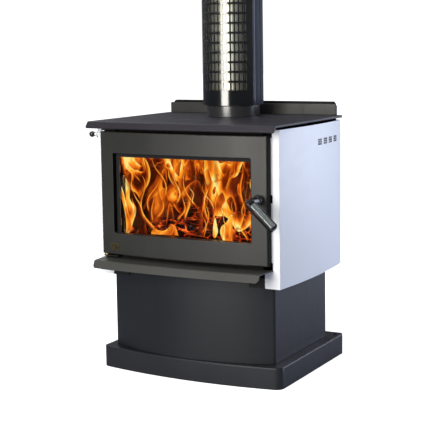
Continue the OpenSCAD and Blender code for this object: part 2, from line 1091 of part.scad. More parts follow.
// blank oval plate
module door_badge() {
  w = 35;
  h = 22;
  color("#3a3420")
    on_face(51 - door_w / 2, door_z0 + 25)
      linear_extrude(1.6)
        translate([0, -h / 2])
          round_rect(w, h, h / 2 - 0.1);
}

module door_screws() {
  color("#8c8e92")
    both_sides()
      for (z = [door_z0 + 42, door_z0 + 122, door_z1 - 116, door_z1 - 36])
        translate([door_w / 2 - 11, inner_back + 2, z])
          rotate([90, 0, 0])
            difference() {
              cylinder(h = 2, r = 4);
              translate([0, 0, -1])
                cylinder(h = 2.2, r = 2, $fn = 6);
            }
}

// ---- handle and latch ----

module handle_spindle() {
  color("#8c8e92")
    y_cylinder(spindle_x, spindle_z, spindle_r, -290, -223.8);
}

module handle_boss() {
  color("#1a1a1c")
    translate([spindle_x, boss_back, spindle_z])
      rotate([90, 0, 0])
        rotate_extrude($fn = 96)
          difference() {
            square([boss_r, boss_l]);
            translate([0, -1])
              square([spindle_r, 30]);
            corner_waste([boss_r - 8, boss_l - 8], 8, 0, 90);
          }
}

// 2D rectangle with chamfered corners
function chamfered(x0, x1, y0, y1, c) = [[x0 + c, y0], [x1 - c, y0], [x1, y0 + c], [x1, y1 - c],
  [x1 - c, y1], [x0 + c, y1], [x0, y1 - c], [x0, y0 + c]];

// puts the grip's own axes at the spindle: X along the grip, and -Y out of its insert face,
// which is turned halfway between the front and the upper side
module grip_frame() {
  translate([spindle_x, grip_y, spindle_z])
    rotate([0, grip_angle, 0])
      rotate([-45, 0, 0])
        children();
}

module grip_bar(edge) {
  h = grip_w / 2;
  rotate([90, 0, 90])
    translate([0, 0, grip_start])
      linear_extrude(grip_l)
        polygon(chamfered(-h, h, -h, h, edge));
}

module handle_arm() {
  length = boss_front - grip_y;
  color("#1a1a1c")
    difference() {
      translate([spindle_x, boss_front, spindle_z])
        rotate([90, 0, 0])
          cylinder(h = length, r1 = 13.5, r2 = 11);
      y_cylinder(spindle_x, spindle_z, spindle_r, -290, -270);
      grip_frame()
        grip_bar(4 - eps);
    }
}

module handle_grip() {
  h = grip_w / 2;
  color("#1a1a1c")
    grip_frame()
      difference() {
        intersection() {
          grip_bar(4);
          translate([0, 0, -20])
            linear_extrude(40)
              polygon(chamfered(grip_start, grip_end, -h, h, 5));
          translate([0, 20, 0])
            rotate([90, 0, 0])
              linear_extrude(40)
                polygon(chamfered(grip_start, grip_end, -h, h, 5));
        }
        insert_pad(0.1);
      }
}

// strip let into the grip's insert face, or the pocket for it
module insert_pad(clear) {
  x0 = grip_start + insert_lead - clear;
  x1 = grip_end - insert_margin + clear;
  z = insert_w / 2 + clear;
  translate([0, -grip_w / 2 + insert_sink, 0])
    rotate([90, 0, 0])
      linear_extrude(insert_t)
        polygon(chamfered(x0, x1, -z, z, 1.5));
}

module handle_insert() {
  color("#8e9096")
    grip_frame()
      insert_pad(0);
}

module latch_cam() {
  color("#8c8e92")
    upright(cam_y, cam_y + cam_t)
      translate([spindle_x, spindle_z])
        difference() {
          union() {
            circle(cam_hub_r);
            rotate(cam_angle) {
              translate([0, -6])
                square([16, 12]);
              translate([16, 0])
                circle(6);
            }
          }
          circle(spindle_r);
        }
}

module cam_nut() {
  color("#b9bcc0")
    difference() {
      translate([spindle_x, -223.9, spindle_z])
        rotate([90, 0, 0])
          cylinder(h = 3.4, r = 7, $fn = 6);
      y_cylinder(spindle_x, spindle_z, spindle_r, -230, -220);
    }
}

floor_plate();
base_plinth();
pedestal_skin();
pedestal_back();
pedestal_top_plate();
lower_rails();
ash_shelf();
shelf_brackets();
firebox_shell();
firebox_front();
log_retainer();
brick_floor();
brick_left();
brick_right();
brick_rear();
baffle_plate();
air_tubes();
air_manifold();
side_panel_left();
side_panel_right();
panel_brackets();
rear_panel();
rear_upstand();
top_spacers();
top_plate();
flue_spigot();
flue_collar();
flue_pipe();
flue_shield();
shield_rail_left();
shield_rail_right();
shield_brackets();
hinge_lugs();
hinge_washers();
latch_catch();
rod_guide();
air_slide_plate();
air_rod();
air_knob();
door_skin();
door_inner_frame();
door_glass();
glass_gasket();
glass_clips();
door_rope_seal();
hinge_pins();
hinge_blocks();
handle_bush();
door_escutcheon();
door_badge();
door_screws();
handle_spindle();
handle_boss();
handle_arm();
handle_grip();
handle_insert();
latch_cam();
cam_nut();
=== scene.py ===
import json
import math
import random

import bmesh
import bpy
from mathutils import Matrix, Vector, noise


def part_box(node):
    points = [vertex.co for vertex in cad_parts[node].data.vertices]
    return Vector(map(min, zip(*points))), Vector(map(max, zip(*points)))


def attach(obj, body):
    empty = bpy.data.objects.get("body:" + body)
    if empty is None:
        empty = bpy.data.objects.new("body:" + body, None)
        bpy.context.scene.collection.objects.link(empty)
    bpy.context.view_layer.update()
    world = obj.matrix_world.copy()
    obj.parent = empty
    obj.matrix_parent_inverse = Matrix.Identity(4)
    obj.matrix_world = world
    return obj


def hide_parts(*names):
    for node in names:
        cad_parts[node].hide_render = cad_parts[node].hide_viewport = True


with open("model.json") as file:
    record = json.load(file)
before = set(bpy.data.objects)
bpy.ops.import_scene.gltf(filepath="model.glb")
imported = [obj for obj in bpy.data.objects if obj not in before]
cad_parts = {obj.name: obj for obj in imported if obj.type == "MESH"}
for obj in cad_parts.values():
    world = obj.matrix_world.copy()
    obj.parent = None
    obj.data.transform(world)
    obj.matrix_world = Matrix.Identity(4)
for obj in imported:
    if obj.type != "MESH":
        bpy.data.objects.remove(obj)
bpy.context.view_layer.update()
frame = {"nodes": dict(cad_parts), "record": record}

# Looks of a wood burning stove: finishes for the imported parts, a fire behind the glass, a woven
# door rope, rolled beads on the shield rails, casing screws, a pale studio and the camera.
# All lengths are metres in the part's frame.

NODES = frame["nodes"]
MM = 0.001

# ---- camera ----

CAMERA_AT = Vector((1.8049, -3.2965, 1.0413))
CAMERA_YAW = math.radians(28.88)
CAMERA_PITCH = math.radians(6.83)
CAMERA_ROLL = math.radians(-0.84)
CAMERA_LENS = 97.14
CAMERA_SENSOR = 36.0
CAMERA_SHIFT_Y = -0.0814


def make_camera():
    """The camera at the photograph's viewing angle."""
    up = Vector((0, 0, 1))
    level = Vector((-math.sin(CAMERA_YAW), math.cos(CAMERA_YAW), 0))
    right = Vector((math.cos(CAMERA_YAW), math.sin(CAMERA_YAW), 0))
    forward = level * math.cos(CAMERA_PITCH) - up * math.sin(CAMERA_PITCH)
    lift = up * math.cos(CAMERA_PITCH) + level * math.sin(CAMERA_PITCH)
    x_axis = right * math.cos(CAMERA_ROLL) + lift * math.sin(CAMERA_ROLL)
    y_axis = lift * math.cos(CAMERA_ROLL) - right * math.sin(CAMERA_ROLL)
    data = bpy.data.cameras.new("camera")
    data.lens = CAMERA_LENS
    data.sensor_width = CAMERA_SENSOR
    data.shift_y = CAMERA_SHIFT_Y
    camera = bpy.data.objects.new("camera", data)
    turn = Matrix((x_axis, y_axis, -forward)).transposed().to_4x4()
    camera.matrix_world = Matrix.Translation(CAMERA_AT) @ turn
    bpy.context.scene.collection.objects.link(camera)
    bpy.context.scene.camera = camera


# ---- shader building ----


class Shader:
    """A material being built. Each call adds one node; sockets take values or other sockets."""

    def __init__(self, name):
        self.material = bpy.data.materials.new(name)
        self.material.use_nodes = True
        self.tree = self.material.node_tree
        self.tree.nodes.clear()
        self.place = self.add("ShaderNodeTexCoord").outputs["Object"]

    def add(self, kind, sockets=None, **settings):
        made = self.tree.nodes.new(kind)
        for name, value in settings.items():
            setattr(made, name, value)
        for name, value in (sockets or {}).items():
            if isinstance(value, bpy.types.NodeSocket):
                self.tree.links.new(value, made.inputs[name])
            else:
                made.inputs[name].default_value = value
        return made

    def calc(self, operation, a, b=0.0, clamp=False):
        made = self.add("ShaderNodeMath", {0: a, 1: b}, operation=operation, use_clamp=clamp)
        return made.outputs[0]

    def stretch(self, scale):
        """The part's own coordinates, scaled by axis."""
        return self.add("ShaderNodeMapping", {"Vector": self.place, "Scale": scale}).outputs[0]

    def noise(self, scale, detail=2.0, rough=0.5, at=None, distortion=0.0):
        sockets = {"Vector": at or self.place, "Scale": scale, "Detail": detail,
                   "Roughness": rough, "Distortion": distortion}
        return self.add("ShaderNodeTexNoise", sockets).outputs["Fac"]

    def cells(self, scale, feature="F1", output="Distance", at=None):
        sockets = {"Vector": at or self.place, "Scale": scale}
        return self.add("ShaderNodeTexVoronoi", sockets, feature=feature).outputs[output]

    def remap(self, value, low, high, to_low=0.0, to_high=1.0):
        sockets = {"Value": value, "From Min": low, "From Max": high,
                   "To Min": to_low, "To Max": to_high}
        return self.add("ShaderNodeMapRange", sockets).outputs[0]

    def mix(self, share, first, second):
        made = self.add("ShaderNodeMix", {0: share}, data_type="RGBA")
        for index, value in ((6, first), (7, second)):
            if isinstance(value, bpy.types.NodeSocket):
                self.tree.links.new(value, made.inputs[index])
            else:
                made.inputs[index].default_value = (*value, 1.0)
        return made.outputs[2]

    def ramp(self, value, stops):
        made = self.add("ShaderNodeValToRGB", {"Fac": value})
        made.color_ramp.interpolation = "LINEAR"
        points = made.color_ramp.elements
        for position, _ in stops[1:-1]:
            points.new(position)
        for point, (position, colour) in zip(points, stops):
            point.position = position
            point.color = (*colour, 1.0)
        return made.outputs["Color"]

    def bump(self, height, distance, strength=1.0, under=None):
        sockets = {"Height": height, "Distance": distance, "Strength": strength}
        if under is not None:
            sockets["Normal"] = under
        return self.add("ShaderNodeBump", sockets).outputs["Normal"]

    def facing(self):
        """The surface's direction along the part's own X, from -1 to 1."""
        own = self.add("ShaderNodeTexCoord").outputs["Normal"]
        return self.add("ShaderNodeSeparateXYZ", {"Vector": own}).outputs["X"]

    def edges(self, radius):
        """How near the surface is to a sharp edge, from 0 to 1."""
        soft = self.add("ShaderNodeBevel", {"Radius": radius}, samples=4).outputs["Normal"]
        true = self.add("ShaderNodeNewGeometry").outputs["Normal"]
        alike = self.add("ShaderNodeVectorMath", {0: soft, 1: true}, operation="DOT_PRODUCT")
        return self.remap(alike.outputs["Value"], 0.985, 0.80)

    def principled(self, **sockets):
        named = {key.replace("_", " ").title().replace("Ior", "IOR"): value
                 for key, value in sockets.items()}
        for key in ("Base Color", "Emission Color", "Sheen Tint", "Coat Tint"):
            if key in named and not isinstance(named[key], bpy.types.NodeSocket):
                named[key] = (*named[key], 1.0)
        return self.add("ShaderNodeBsdfPrincipled", named).outputs[0]

    def finish(self, surface):
        self.add("ShaderNodeOutputMaterial", {"Surface": surface})
        return self.material


def shade(colour, factor):
    return tuple(channel * factor for channel in colour)


# ---- finishes ----


def painted(name, colour, roughness, specular=0.2, grain=0.10, flake=0.10, wear=0.25, coat=0.0,
            peel=0.03, rounding=1.2 * MM, painted_side_shade=False):
    """Sprayed metal paint: cloudy tone, metal flake, powder grain, orange peel and rubbed edges, and on
    request painted shade that darkens the faces turned along the part's X.
    """
    s = Shader(name)
    cloud = s.noise(5.0, 4.0, 0.6)
    streak = s.noise(14.0, 3.0, 0.55, at=s.stretch((1.0, 1.0, 0.35)))
    tone = s.mix(s.remap(cloud, 0.35, 0.65), shade(colour, 0.90), shade(colour, 1.10))
    sparkle = s.cells(1400.0, output="Color")
    fleck = s.add("ShaderNodeSeparateColor", {"Color": sparkle}).outputs[0]
    tone = s.mix(s.remap(fleck, 0.80, 1.0, 0.0, flake), tone, shade(colour, 3.0))
    rim = s.calc("MULTIPLY", s.edges(1.6 * MM), s.remap(s.noise(60.0, 3.0), 0.35, 0.65))
    rim = s.calc("MULTIPLY", rim, wear)
    tone = s.mix(rim, tone, tuple(min(1.0, 2.2 * c + 0.05) for c in colour))
    rough = s.remap(streak, 0.3, 0.7, roughness - 0.05, roughness + 0.05)
    rough = s.calc("ADD", rough, s.remap(s.noise(900.0), 0.3, 0.7, -0.03, 0.03), clamp=True)
    # painted shade: faces turned along the part's X get a far darker tone and less specular, standing in
    # for the shade on those faces
    if painted_side_shade:
        turned = s.calc("ABSOLUTE", s.facing())
        tone = s.mix(s.remap(turned, 0.75, 0.95), tone, shade(colour, 0.2))
        specular = s.remap(turned, 0.75, 0.95, specular, 0.04)
    fold = s.add("ShaderNodeBevel", {"Radius": rounding}, samples=6).outputs["Normal"]
    skin = s.bump(s.noise(240.0, 2.0), 0.12 * MM, peel, under=fold)
    skin = s.bump(s.noise(1500.0, 2.0), 0.10 * MM, grain, under=skin)
    return s.finish(s.principled(base_color=tone, roughness=rough, specular_ior_level=specular,
                                 coat_weight=coat, coat_roughness=0.12, normal=skin))


# how far the side panel's folded edges reach back and forward, which have no vent cuts
FRONT_FOLD = 20 * MM
REAR_FOLD = 9 * MM
FOLD_BLEND = 1 * MM


def enamel(name, colour, roughness):
    """White powder coat with a soft gloss, with painted shade in dark grey on the inner side and in the
    vent cuts.
    """
    s = Shader(name)
    cloud = s.noise(3.0, 3.0, 0.5)
    tone = s.mix(s.remap(cloud, 0.3, 0.7), shade(colour, 0.985), colour)
    tone = s.mix(s.remap(s.noise(420.0), 0.66, 0.74, 0.0, 0.05), tone, shade(colour, 0.8))
    rough = s.remap(s.noise(30.0, 3.0), 0.3, 0.7, roughness - 0.04, roughness + 0.05)
    # painted shade: the panel's inner side and the walls of the vent cuts between the folded edges take
    # a dark grey, standing in for the shade inside the casing
    across = s.add("ShaderNodeSeparateXYZ", {"Vector": s.place}).outputs["X"]
    painted_inner_shade = s.remap(s.calc("MULTIPLY", across, s.facing()), -0.05, -0.15)
    low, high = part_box("side_panel_right")
    along = s.add("ShaderNodeSeparateXYZ", {"Vector": s.place}).outputs["Y"]
    behind = s.remap(along, low.y + FRONT_FOLD, low.y + FRONT_FOLD + FOLD_BLEND)
    ahead = s.remap(along, high.y - REAR_FOLD, high.y - REAR_FOLD - FOLD_BLEND)
    sideways = s.remap(s.calc("ABSOLUTE", s.facing()), 0.5, 0.3)
    painted_cut_shade = s.calc("MULTIPLY", s.calc("MULTIPLY", behind, ahead), sideways)
    tone = s.mix(s.calc("MAXIMUM", painted_inner_shade, painted_cut_shade), tone, (0.10, 0.105, 0.11))
    skin = s.bump(s.noise(210.0, 2.0), 0.15 * MM, 0.05)
    return s.finish(s.principled(base_color=tone, roughness=rough, specular_ior_level=0.45, normal=skin))


# heights over which the heat tint of the flue fades out
HEAT_NONE_Z = 1.02
HEAT_FULL_Z = 0.80


def steel(name, colour, roughness, along=(1.0, 1.0, 0.03), heat=0.0, rim=0.0):
    """Bare or plated steel with fine drawn lines, a straw to blue heat tint near the fire, and with rim
    a painted highlight along its edges.
    """
    s = Shader(name)
    lines = s.noise(700.0, 3.0, 0.6, at=s.stretch(along))
    cloud = s.noise(18.0, 4.0, 0.6)
    tone = s.mix(s.remap(lines, 0.3, 0.7), shade(colour, 0.86), colour)
    tone = s.mix(s.remap(cloud, 0.4, 0.7, 0.0, 0.25), tone, shade(colour, 0.72))
    if heat:
        height = s.add("ShaderNodeSeparateXYZ", {"Vector": s.place}).outputs["Z"]
        warm = s.calc("MULTIPLY", s.remap(height, HEAT_NONE_Z, HEAT_FULL_Z), heat)
        tone = s.mix(warm, tone, (0.48, 0.36, 0.20))
    # painted highlight: a near-white tone along the sharp edges
    if rim:
        tone = s.mix(s.calc("MULTIPLY", s.edges(2.0 * MM), rim), tone, (0.95, 0.95, 0.95))
    rough = s.remap(lines, 0.25, 0.75, roughness - 0.06, roughness + 0.10)
    skin = s.bump(lines, 0.04 * MM, 0.25)
    return s.finish(s.principled(base_color=tone, metallic=1.0, roughness=rough, anisotropic=0.4,
                                 normal=skin))


def firebrick(name):
    """Pale vermiculite brick, pitted, with soot on it."""
    s = Shader(name)
    pits = s.cells(160.0)
    cloud = s.noise(22.0, 5.0, 0.65)
    tone = s.mix(s.remap(cloud, 0.3, 0.7), (0.20, 0.15, 0.09), (0.34, 0.27, 0.17))
    soot = s.remap(s.noise(7.0, 5.0, 0.7), 0.30, 0.62)
    tone = s.mix(soot, tone, (0.022, 0.018, 0.015))
    # painted shade: the pits go near black
    tone = s.mix(s.remap(pits, 0.0, 0.25, 0.7, 0.0), tone, (0.02, 0.017, 0.014))
    skin = s.bump(s.remap(pits, 0.0, 0.4), 1.2 * MM, 0.5)
    skin = s.bump(s.noise(420.0, 4.0, 0.7), 0.5 * MM, 0.4, under=skin)
    return s.finish(s.principled(base_color=tone, roughness=0.94, specular_ior_level=0.15, normal=skin))


def scorched(name):
    """Steel that lives in the fire: scale, rust bloom and soot."""
    s = Shader(name)
    cloud = s.noise(26.0, 6.0, 0.7)
    tone = s.ramp(cloud, [(0.30, (0.012, 0.011, 0.010)), (0.52, (0.050, 0.036, 0.026)),
                          (0.66, (0.11, 0.060, 0.032)), (0.80, (0.09, 0.085, 0.08))])
    skin = s.bump(s.noise(300.0, 5.0, 0.7), 0.4 * MM, 0.5)
    return s.finish(s.principled(base_color=tone, roughness=0.78, metallic=0.5, normal=skin))


def stove_glass(name):
    """Clear ceramic glass, thin enough to look through without bending what is behind it."""
    s = Shader(name)
    haze = s.remap(s.noise(9.0, 4.0, 0.6), 0.35, 0.8, 0.0, 0.05)
    rough = s.calc("ADD", haze, 0.01)
    return s.finish(s.principled(base_color=(0.99, 0.96, 0.90), transmission_weight=1.0, roughness=rough,
                                 ior=1.12, specular_ior_level=0.5))


def woven(name, colour, scale):
    """Ceramic tape or rope: yarns that cross over and under, with loose fibres."""
    s = Shader(name)
    yarns = {"Vector": s.place, "Scale": scale, "Distortion": 1.5}
    warp = s.add("ShaderNodeTexWave", yarns).outputs["Fac"]
    weft = s.add("ShaderNodeTexWave", yarns, bands_direction="Z").outputs["Fac"]
    yarn = s.calc("MAXIMUM", warp, weft)
    fibre = s.noise(1600.0, 4.0, 0.8)
    # painted shade: the gaps between the yarns are half as bright as the yarns
    tone = s.mix(yarn, shade(colour, 0.5), colour)
    tone = s.mix(s.remap(fibre, 0.4, 0.7, 0.0, 0.4), tone, shade(colour, 0.6))
    tone = s.mix(s.remap(s.noise(35.0, 4.0), 0.5, 0.75, 0.0, 0.6), tone, (0.06, 0.05, 0.045))
    skin = s.bump(yarn, 0.3 * MM, 0.6)
    skin = s.bump(fibre, 0.2 * MM, 0.5, under=skin)
    return s.finish(s.principled(base_color=tone, roughness=0.95, specular_ior_level=0.1,
                                 sheen_weight=0.2, normal=skin))


def moulded(name, colour, roughness, specular=0.5):
    """Moulded phenolic plastic with a fine texture and slightly polished edges."""
    s = Shader(name)
    rub = s.remap(s.noise(45.0, 3.0), 0.35, 0.7)
    tone = s.mix(rub, colour, shade(colour, 1.5))
    tone = s.mix(s.calc("MULTIPLY", s.edges(1.2 * MM), 0.5), tone, shade(colour, 4.0))
    rough = s.remap(rub, 0.0, 1.0, roughness - 0.06, roughness + 0.05)
    skin = s.bump(s.noise(1300.0, 2.0), 0.08 * MM, 0.12)
    return s.finish(s.principled(base_color=tone, roughness=rough, specular_ior_level=specular,
                                 normal=skin))


def aged_bronze(name):
    """Dark bronze plate with a rubbed rim."""
    s = Shader(name)
    cloud = s.noise(120.0, 4.0, 0.6)
    tone = s.mix(s.remap(cloud, 0.35, 0.7), (0.045, 0.036, 0.018), (0.12, 0.095, 0.045))
    tone = s.mix(s.edges(1.8 * MM), tone, (0.34, 0.27, 0.14))
    skin = s.bump(s.noise(700.0, 3.0), 0.1 * MM, 0.25)
    return s.finish(s.principled(base_color=tone, metallic=0.85, roughness=0.42, normal=skin))


def charred_wood(name):
    """Burning log: black alligator char, grey ash on the ridges and embers in the cracks."""
    s = Shader(name)
    along = s.stretch((0.45, 1.0, 1.0))
    crack = s.cells(55.0, feature="DISTANCE_TO_EDGE", at=along)
    fine = s.noise(190.0, 5.0, 0.7)
    open_crack = s.remap(crack, 0.0, 0.10, 1.0, 0.0)
    tone = s.mix(s.remap(fine, 0.35, 0.7), (0.006, 0.005, 0.004), (0.030, 0.024, 0.020))
    tone = s.mix(s.remap(s.noise(30.0, 5.0, 0.7), 0.60, 0.75, 0.0, 0.5), tone, (0.16, 0.15, 0.14))
    hot = s.remap(s.noise(16.0, 3.0, 0.6), 0.44, 0.66)
    glow = s.calc("MULTIPLY", open_crack, hot)
    light = s.ramp(glow, [(0.0, (0.0, 0.0, 0.0)), (0.35, (0.35, 0.02, 0.0)), (0.8, (1.0, 0.22, 0.02)),
                          (1.0, (1.0, 0.55, 0.10))])
    skin = s.bump(s.remap(crack, 0.0, 0.25), 2.5 * MM, 0.8)
    skin = s.bump(fine, 0.8 * MM, 0.5, under=skin)
    return s.finish(s.principled(base_color=tone, roughness=0.9, specular_ior_level=0.2,
                                 emission_color=light, emission_strength=1.6, normal=skin))


def ember_coal(name):
    """Glowing charcoal: bright between the lumps, with a skin of ash on top."""
    s = Shader(name)
    heat = s.noise(42.0, 5.0, 0.7)
    light = s.ramp(heat, [(0.36, (0.01, 0.0, 0.0)), (0.48, (0.35, 0.02, 0.0)), (0.60, (1.0, 0.20, 0.01)),
                          (0.74, (1.0, 0.55, 0.10))])
    tone = s.mix(s.remap(s.noise(120.0, 4.0), 0.45, 0.7), (0.010, 0.009, 0.008), (0.20, 0.19, 0.18))
    skin = s.bump(s.noise(220.0, 5.0, 0.7), 1.5 * MM, 0.7)
    return s.finish(s.principled(base_color=tone, roughness=0.95, specular_ior_level=0.1,
                                 emission_color=light, emission_strength=1.5, normal=skin))


FLAME_STOPS = [
    (0.00, (0.006, 0.000, 0.000)),
    (0.12, (0.070, 0.005, 0.001)),
    (0.26, (0.330, 0.035, 0.003)),
    (0.42, (0.740, 0.140, 0.008)),
    (0.60, (1.000, 0.300, 0.018)),
    (0.80, (1.000, 0.540, 0.060)),
    (1.00, (1.000, 0.820, 0.270)),
]


def flame_tongue(name):
    """Luminous gas: each point's heat gives its colour, and its veil how much it hides."""
    s = Shader(name)
    heat = s.add("ShaderNodeAttribute", attribute_name="fire_heat").outputs["Fac"]
    veil = s.add("ShaderNodeAttribute", attribute_name="fire_veil").outputs["Fac"]
    flicker = s.noise(70.0, 2.0, 0.5, at=s.stretch((1.0, 1.0, 0.25)), distortion=0.8)
    heat = s.calc("MULTIPLY", heat, s.remap(flicker, 0.3, 0.7, 0.80, 1.10))
    light = s.add("ShaderNodeEmission", {"Color": s.ramp(heat, FLAME_STOPS), "Strength": 1.0}).outputs[0]
    clear = s.add("ShaderNodeBsdfTransparent").outputs[0]
    return s.finish(s.add("ShaderNodeMixShader", {0: veil, 1: clear, 2: light}).outputs[0])


SWEEP = 0.14  # how far the drift pushes the folds of a sheet
FOLDS = 5.0  # bright edges over the range of the noise
LIFT_LOW, LIFT_HIGH = -0.08, 0.14  # heat added at the foot and at the top of a sheet


def flame_sheet(name, scale, shift, gain, floor_heat):
    """A sheet of fire: swept folds with a crisp bright edge on one side that fades to the other."""
    s = Shader(name)
    moved = s.add("ShaderNodeMapping", {"Vector": s.place, "Location": (shift, 0.0, shift),
                                        "Scale": (1.0, 0.6, 0.52)}).outputs[0]
    drift = s.add("ShaderNodeTexNoise", {"Vector": moved, "Scale": scale * 0.8, "Detail": 1.5})
    pushed = s.add("ShaderNodeVectorMath", {0: drift.outputs["Color"], 1: (SWEEP, SWEEP, SWEEP)},
                   operation="MULTIPLY").outputs[0]
    swept = s.add("ShaderNodeVectorMath", {0: moved, 1: pushed}, operation="ADD").outputs[0]
    broad = s.noise(scale, 1.2, 0.35, at=swept, distortion=0.3)
    broad = s.calc("FRACT", s.calc("MULTIPLY", broad, FOLDS))
    small = s.calc("FRACT", s.calc("MULTIPLY", s.noise(scale * 2.3, 1.0, 0.4, at=swept), FOLDS))
    edge = s.calc("MULTIPLY", s.calc("POWER", broad, 7.0), 0.46)
    body = s.calc("MULTIPLY", s.calc("POWER", broad, 1.7), 0.40)
    wisp = s.calc("MULTIPLY", s.calc("POWER", small, 4.0), 0.34)
    heat = s.calc("ADD", s.calc("ADD", edge, body), wisp)
    vigour = s.remap(s.noise(scale * 1.1, 2.0, 0.5, at=moved), 0.38, 0.60, 0.05, 1.0)
    streak = s.remap(s.noise(scale * 6.0, 2.0, 0.6, at=swept), 0.3, 0.7, 0.70, 1.20)
    heat = s.calc("MULTIPLY", s.calc("MULTIPLY", heat, vigour), streak)
    height = s.add("ShaderNodeSeparateXYZ", {"Vector": s.place}).outputs["Z"]
    lift = s.remap(height, FLAME_LOW_Z, FLAME_HIGH_Z, LIFT_LOW, LIFT_HIGH)
    heat = s.calc("ADD", s.calc("MULTIPLY", heat, gain), s.calc("ADD", lift, floor_heat))
    light = s.add("ShaderNodeEmission", {"Color": s.ramp(heat, FLAME_STOPS), "Strength": 1.0}).outputs[0]
    clear = s.add("ShaderNodeBsdfTransparent").outputs[0]
    share = s.remap(heat, 0.06, 0.42)
    return s.finish(s.add("ShaderNodeMixShader", {0: share, 1: clear, 2: light}).outputs[0])


def make_finishes():
    """One material for each slot of the record."""
    return {
        "plinth_paint": painted("plinth_paint", (0.015, 0.016, 0.020), 0.43, specular=0.32,
                                rounding=5 * MM),
        "pedestal_paint": painted("pedestal_paint", (0.0085, 0.0095, 0.012), 0.44, specular=0.32,
                                  rounding=5 * MM),
        "hidden_steel": painted("hidden_steel", (0.012, 0.012, 0.013), 0.62, specular=0.15, wear=0.5),
        "firebox_paint": painted("firebox_paint", (0.010, 0.0095, 0.0095), 0.75, specular=0.12,
                                 wear=0.2),
        "scorched_steel": scorched("scorched_steel"),
        "firebrick": firebrick("firebrick"),
        "white_enamel": enamel("white_enamel", (0.80, 0.82, 0.86), 0.38),
        "shelf_paint": painted("shelf_paint", (0.046, 0.046, 0.043), 0.46, specular=0.26, flake=0.2,
                               rounding=3 * MM),
        "cooktop_paint": painted("cooktop_paint", (0.022, 0.020, 0.026), 0.48, specular=0.19,
                                 flake=0.15, rounding=6 * MM),
        "satin_black": painted("satin_black", (0.024, 0.024, 0.026), 0.26, specular=1.0,
                               rounding=4 * MM),
        # upstand_paint darkens the upstand's end faces: painted shade
        "upstand_paint": painted("upstand_paint", (0.040, 0.040, 0.038), 0.30, specular=0.45,
                                 rounding=4 * MM, painted_side_shade=True),
        # light bluish tone on the rails' rolled edges: a painted reflection of the blue light
        "rail_edge_painted_reflection": painted("rail_edge_painted_reflection", (0.085, 0.095, 0.160), 0.24, specular=0.5, flake=0.05),
        "backing_black": painted("backing_black", (0.004, 0.004, 0.005), 0.5, specular=0.12),
        "flue_steel": steel("flue_steel", (0.72, 0.72, 0.61), 0.36, heat=0.35),
        "shield_paint": painted("shield_paint", (0.003, 0.0035, 0.004), 0.16, specular=0.75, coat=0.8,
                                flake=0.0, wear=0.10),
        # rail_paint: dark paint whose bluish lift, with almost no specular, is a painted reflection of
        # the blue light on the rails
        "rail_paint": painted("rail_paint", (0.032, 0.036, 0.056), 0.40, specular=0.03, flake=0.05),
        "zinc_steel": steel("zinc_steel", (0.50, 0.50, 0.49), 0.34, along=(1.0, 1.0, 1.0)),
        "brass": steel("brass", (0.66, 0.48, 0.20), 0.30, along=(1.0, 1.0, 1.0)),
        # door_paint darkens the door's side faces: painted shade
        "door_paint": painted("door_paint", (0.021, 0.021, 0.019), 0.40, specular=0.34,
                              painted_side_shade=True, flake=0.25, rounding=2.5 * MM),
        "door_glass": stove_glass("door_glass"),
        "gasket": woven("gasket", (0.50, 0.47, 0.40), 170.0),
        "rope": woven("rope", (0.55, 0.52, 0.46), 260.0),
        "badge_metal": aged_bronze("badge_metal"),
        "grip_black": moulded("grip_black", (0.004, 0.004, 0.005), 0.20, specular=0.6),
        # grip_insert's edges are near white: a painted highlight
        "grip_insert": steel("grip_insert", (0.50, 0.55, 0.54), 0.26, along=(0.05, 1.0, 0.05), rim=0.9),
    }


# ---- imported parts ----

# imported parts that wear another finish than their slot's
OWN_FINISH = {"flue_collar": "satin_black", "rear_upstand": "upstand_paint",
              "rear_panel": "backing_black", "rod_guide": "white_enamel", "air_rod": "white_enamel"}
# radius of the rounded edges, in millimetres
SOFT_EDGES = {
    "base_plinth": 0.8, "pedestal_skin": 0.5, "ash_shelf": 0.4, "firebox_front": 0.8,
    "brick_floor": 1.2, "brick_left": 1.2, "brick_right": 1.2, "brick_rear": 1.2,
    "baffle_plate": 1.0, "log_retainer": 0.6, "rear_panel": 0.3, "rear_upstand": 0.35,
    "top_plate": 0.6, "door_skin": 0.35, "door_inner_frame": 0.4, "handle_grip": 1.1,
    "handle_insert": 0.5, "door_badge": 0.5, "side_panel_left": 0.4, "side_panel_right": 0.4,
    "shield_rail_left": 0.2, "shield_rail_right": 0.2, "latch_catch": 0.4, "latch_cam": 0.5,
    "cam_nut": 0.4, "hinge_blocks": 0.6, "hinge_lugs": 0.5, "floor_plate": 0.5,
}
EDGE_ANGLE = math.radians(32)
EDGE_STEPS = 2
WELD_DISTANCE = 0.01 * MM


def dress_parts(finishes):
    """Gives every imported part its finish, and a small radius on its sharp edges."""
    for part in frame["record"]["subparts"]:
        obj = NODES[part["node"]]
        obj.data.materials.clear()
        obj.data.materials.append(finishes[OWN_FINISH.get(part["node"], part["material_slot"])])
        if part["node"] in SOFT_EDGES:
            weld = obj.modifiers.new("weld", "WELD")
            weld.merge_threshold = WELD_DISTANCE
            bevel = obj.modifiers.new("edge_radius", "BEVEL")
            bevel.width = SOFT_EDGES[part["node"]] * MM
            bevel.segments = EDGE_STEPS
            bevel.limit_method = "ANGLE"
            bevel.angle_limit = EDGE_ANGLE
            normals = obj.modifiers.new("normals", "WEIGHTED_NORMAL")
            normals.weight = 80


# ---- mesh pieces ----


def new_piece(name, vertices, faces, material):
    """A smooth-shaded mesh object with the given material."""
    mesh = bpy.data.meshes.new(name)
    mesh.from_pydata([tuple(v) for v in vertices], [], faces)
    mesh.validate()
    for polygon in mesh.polygons:
        polygon.use_smooth = True
    mesh.materials.append(material)
    obj = bpy.data.objects.new(name, mesh)
    bpy.context.scene.collection.objects.link(obj)
    return obj


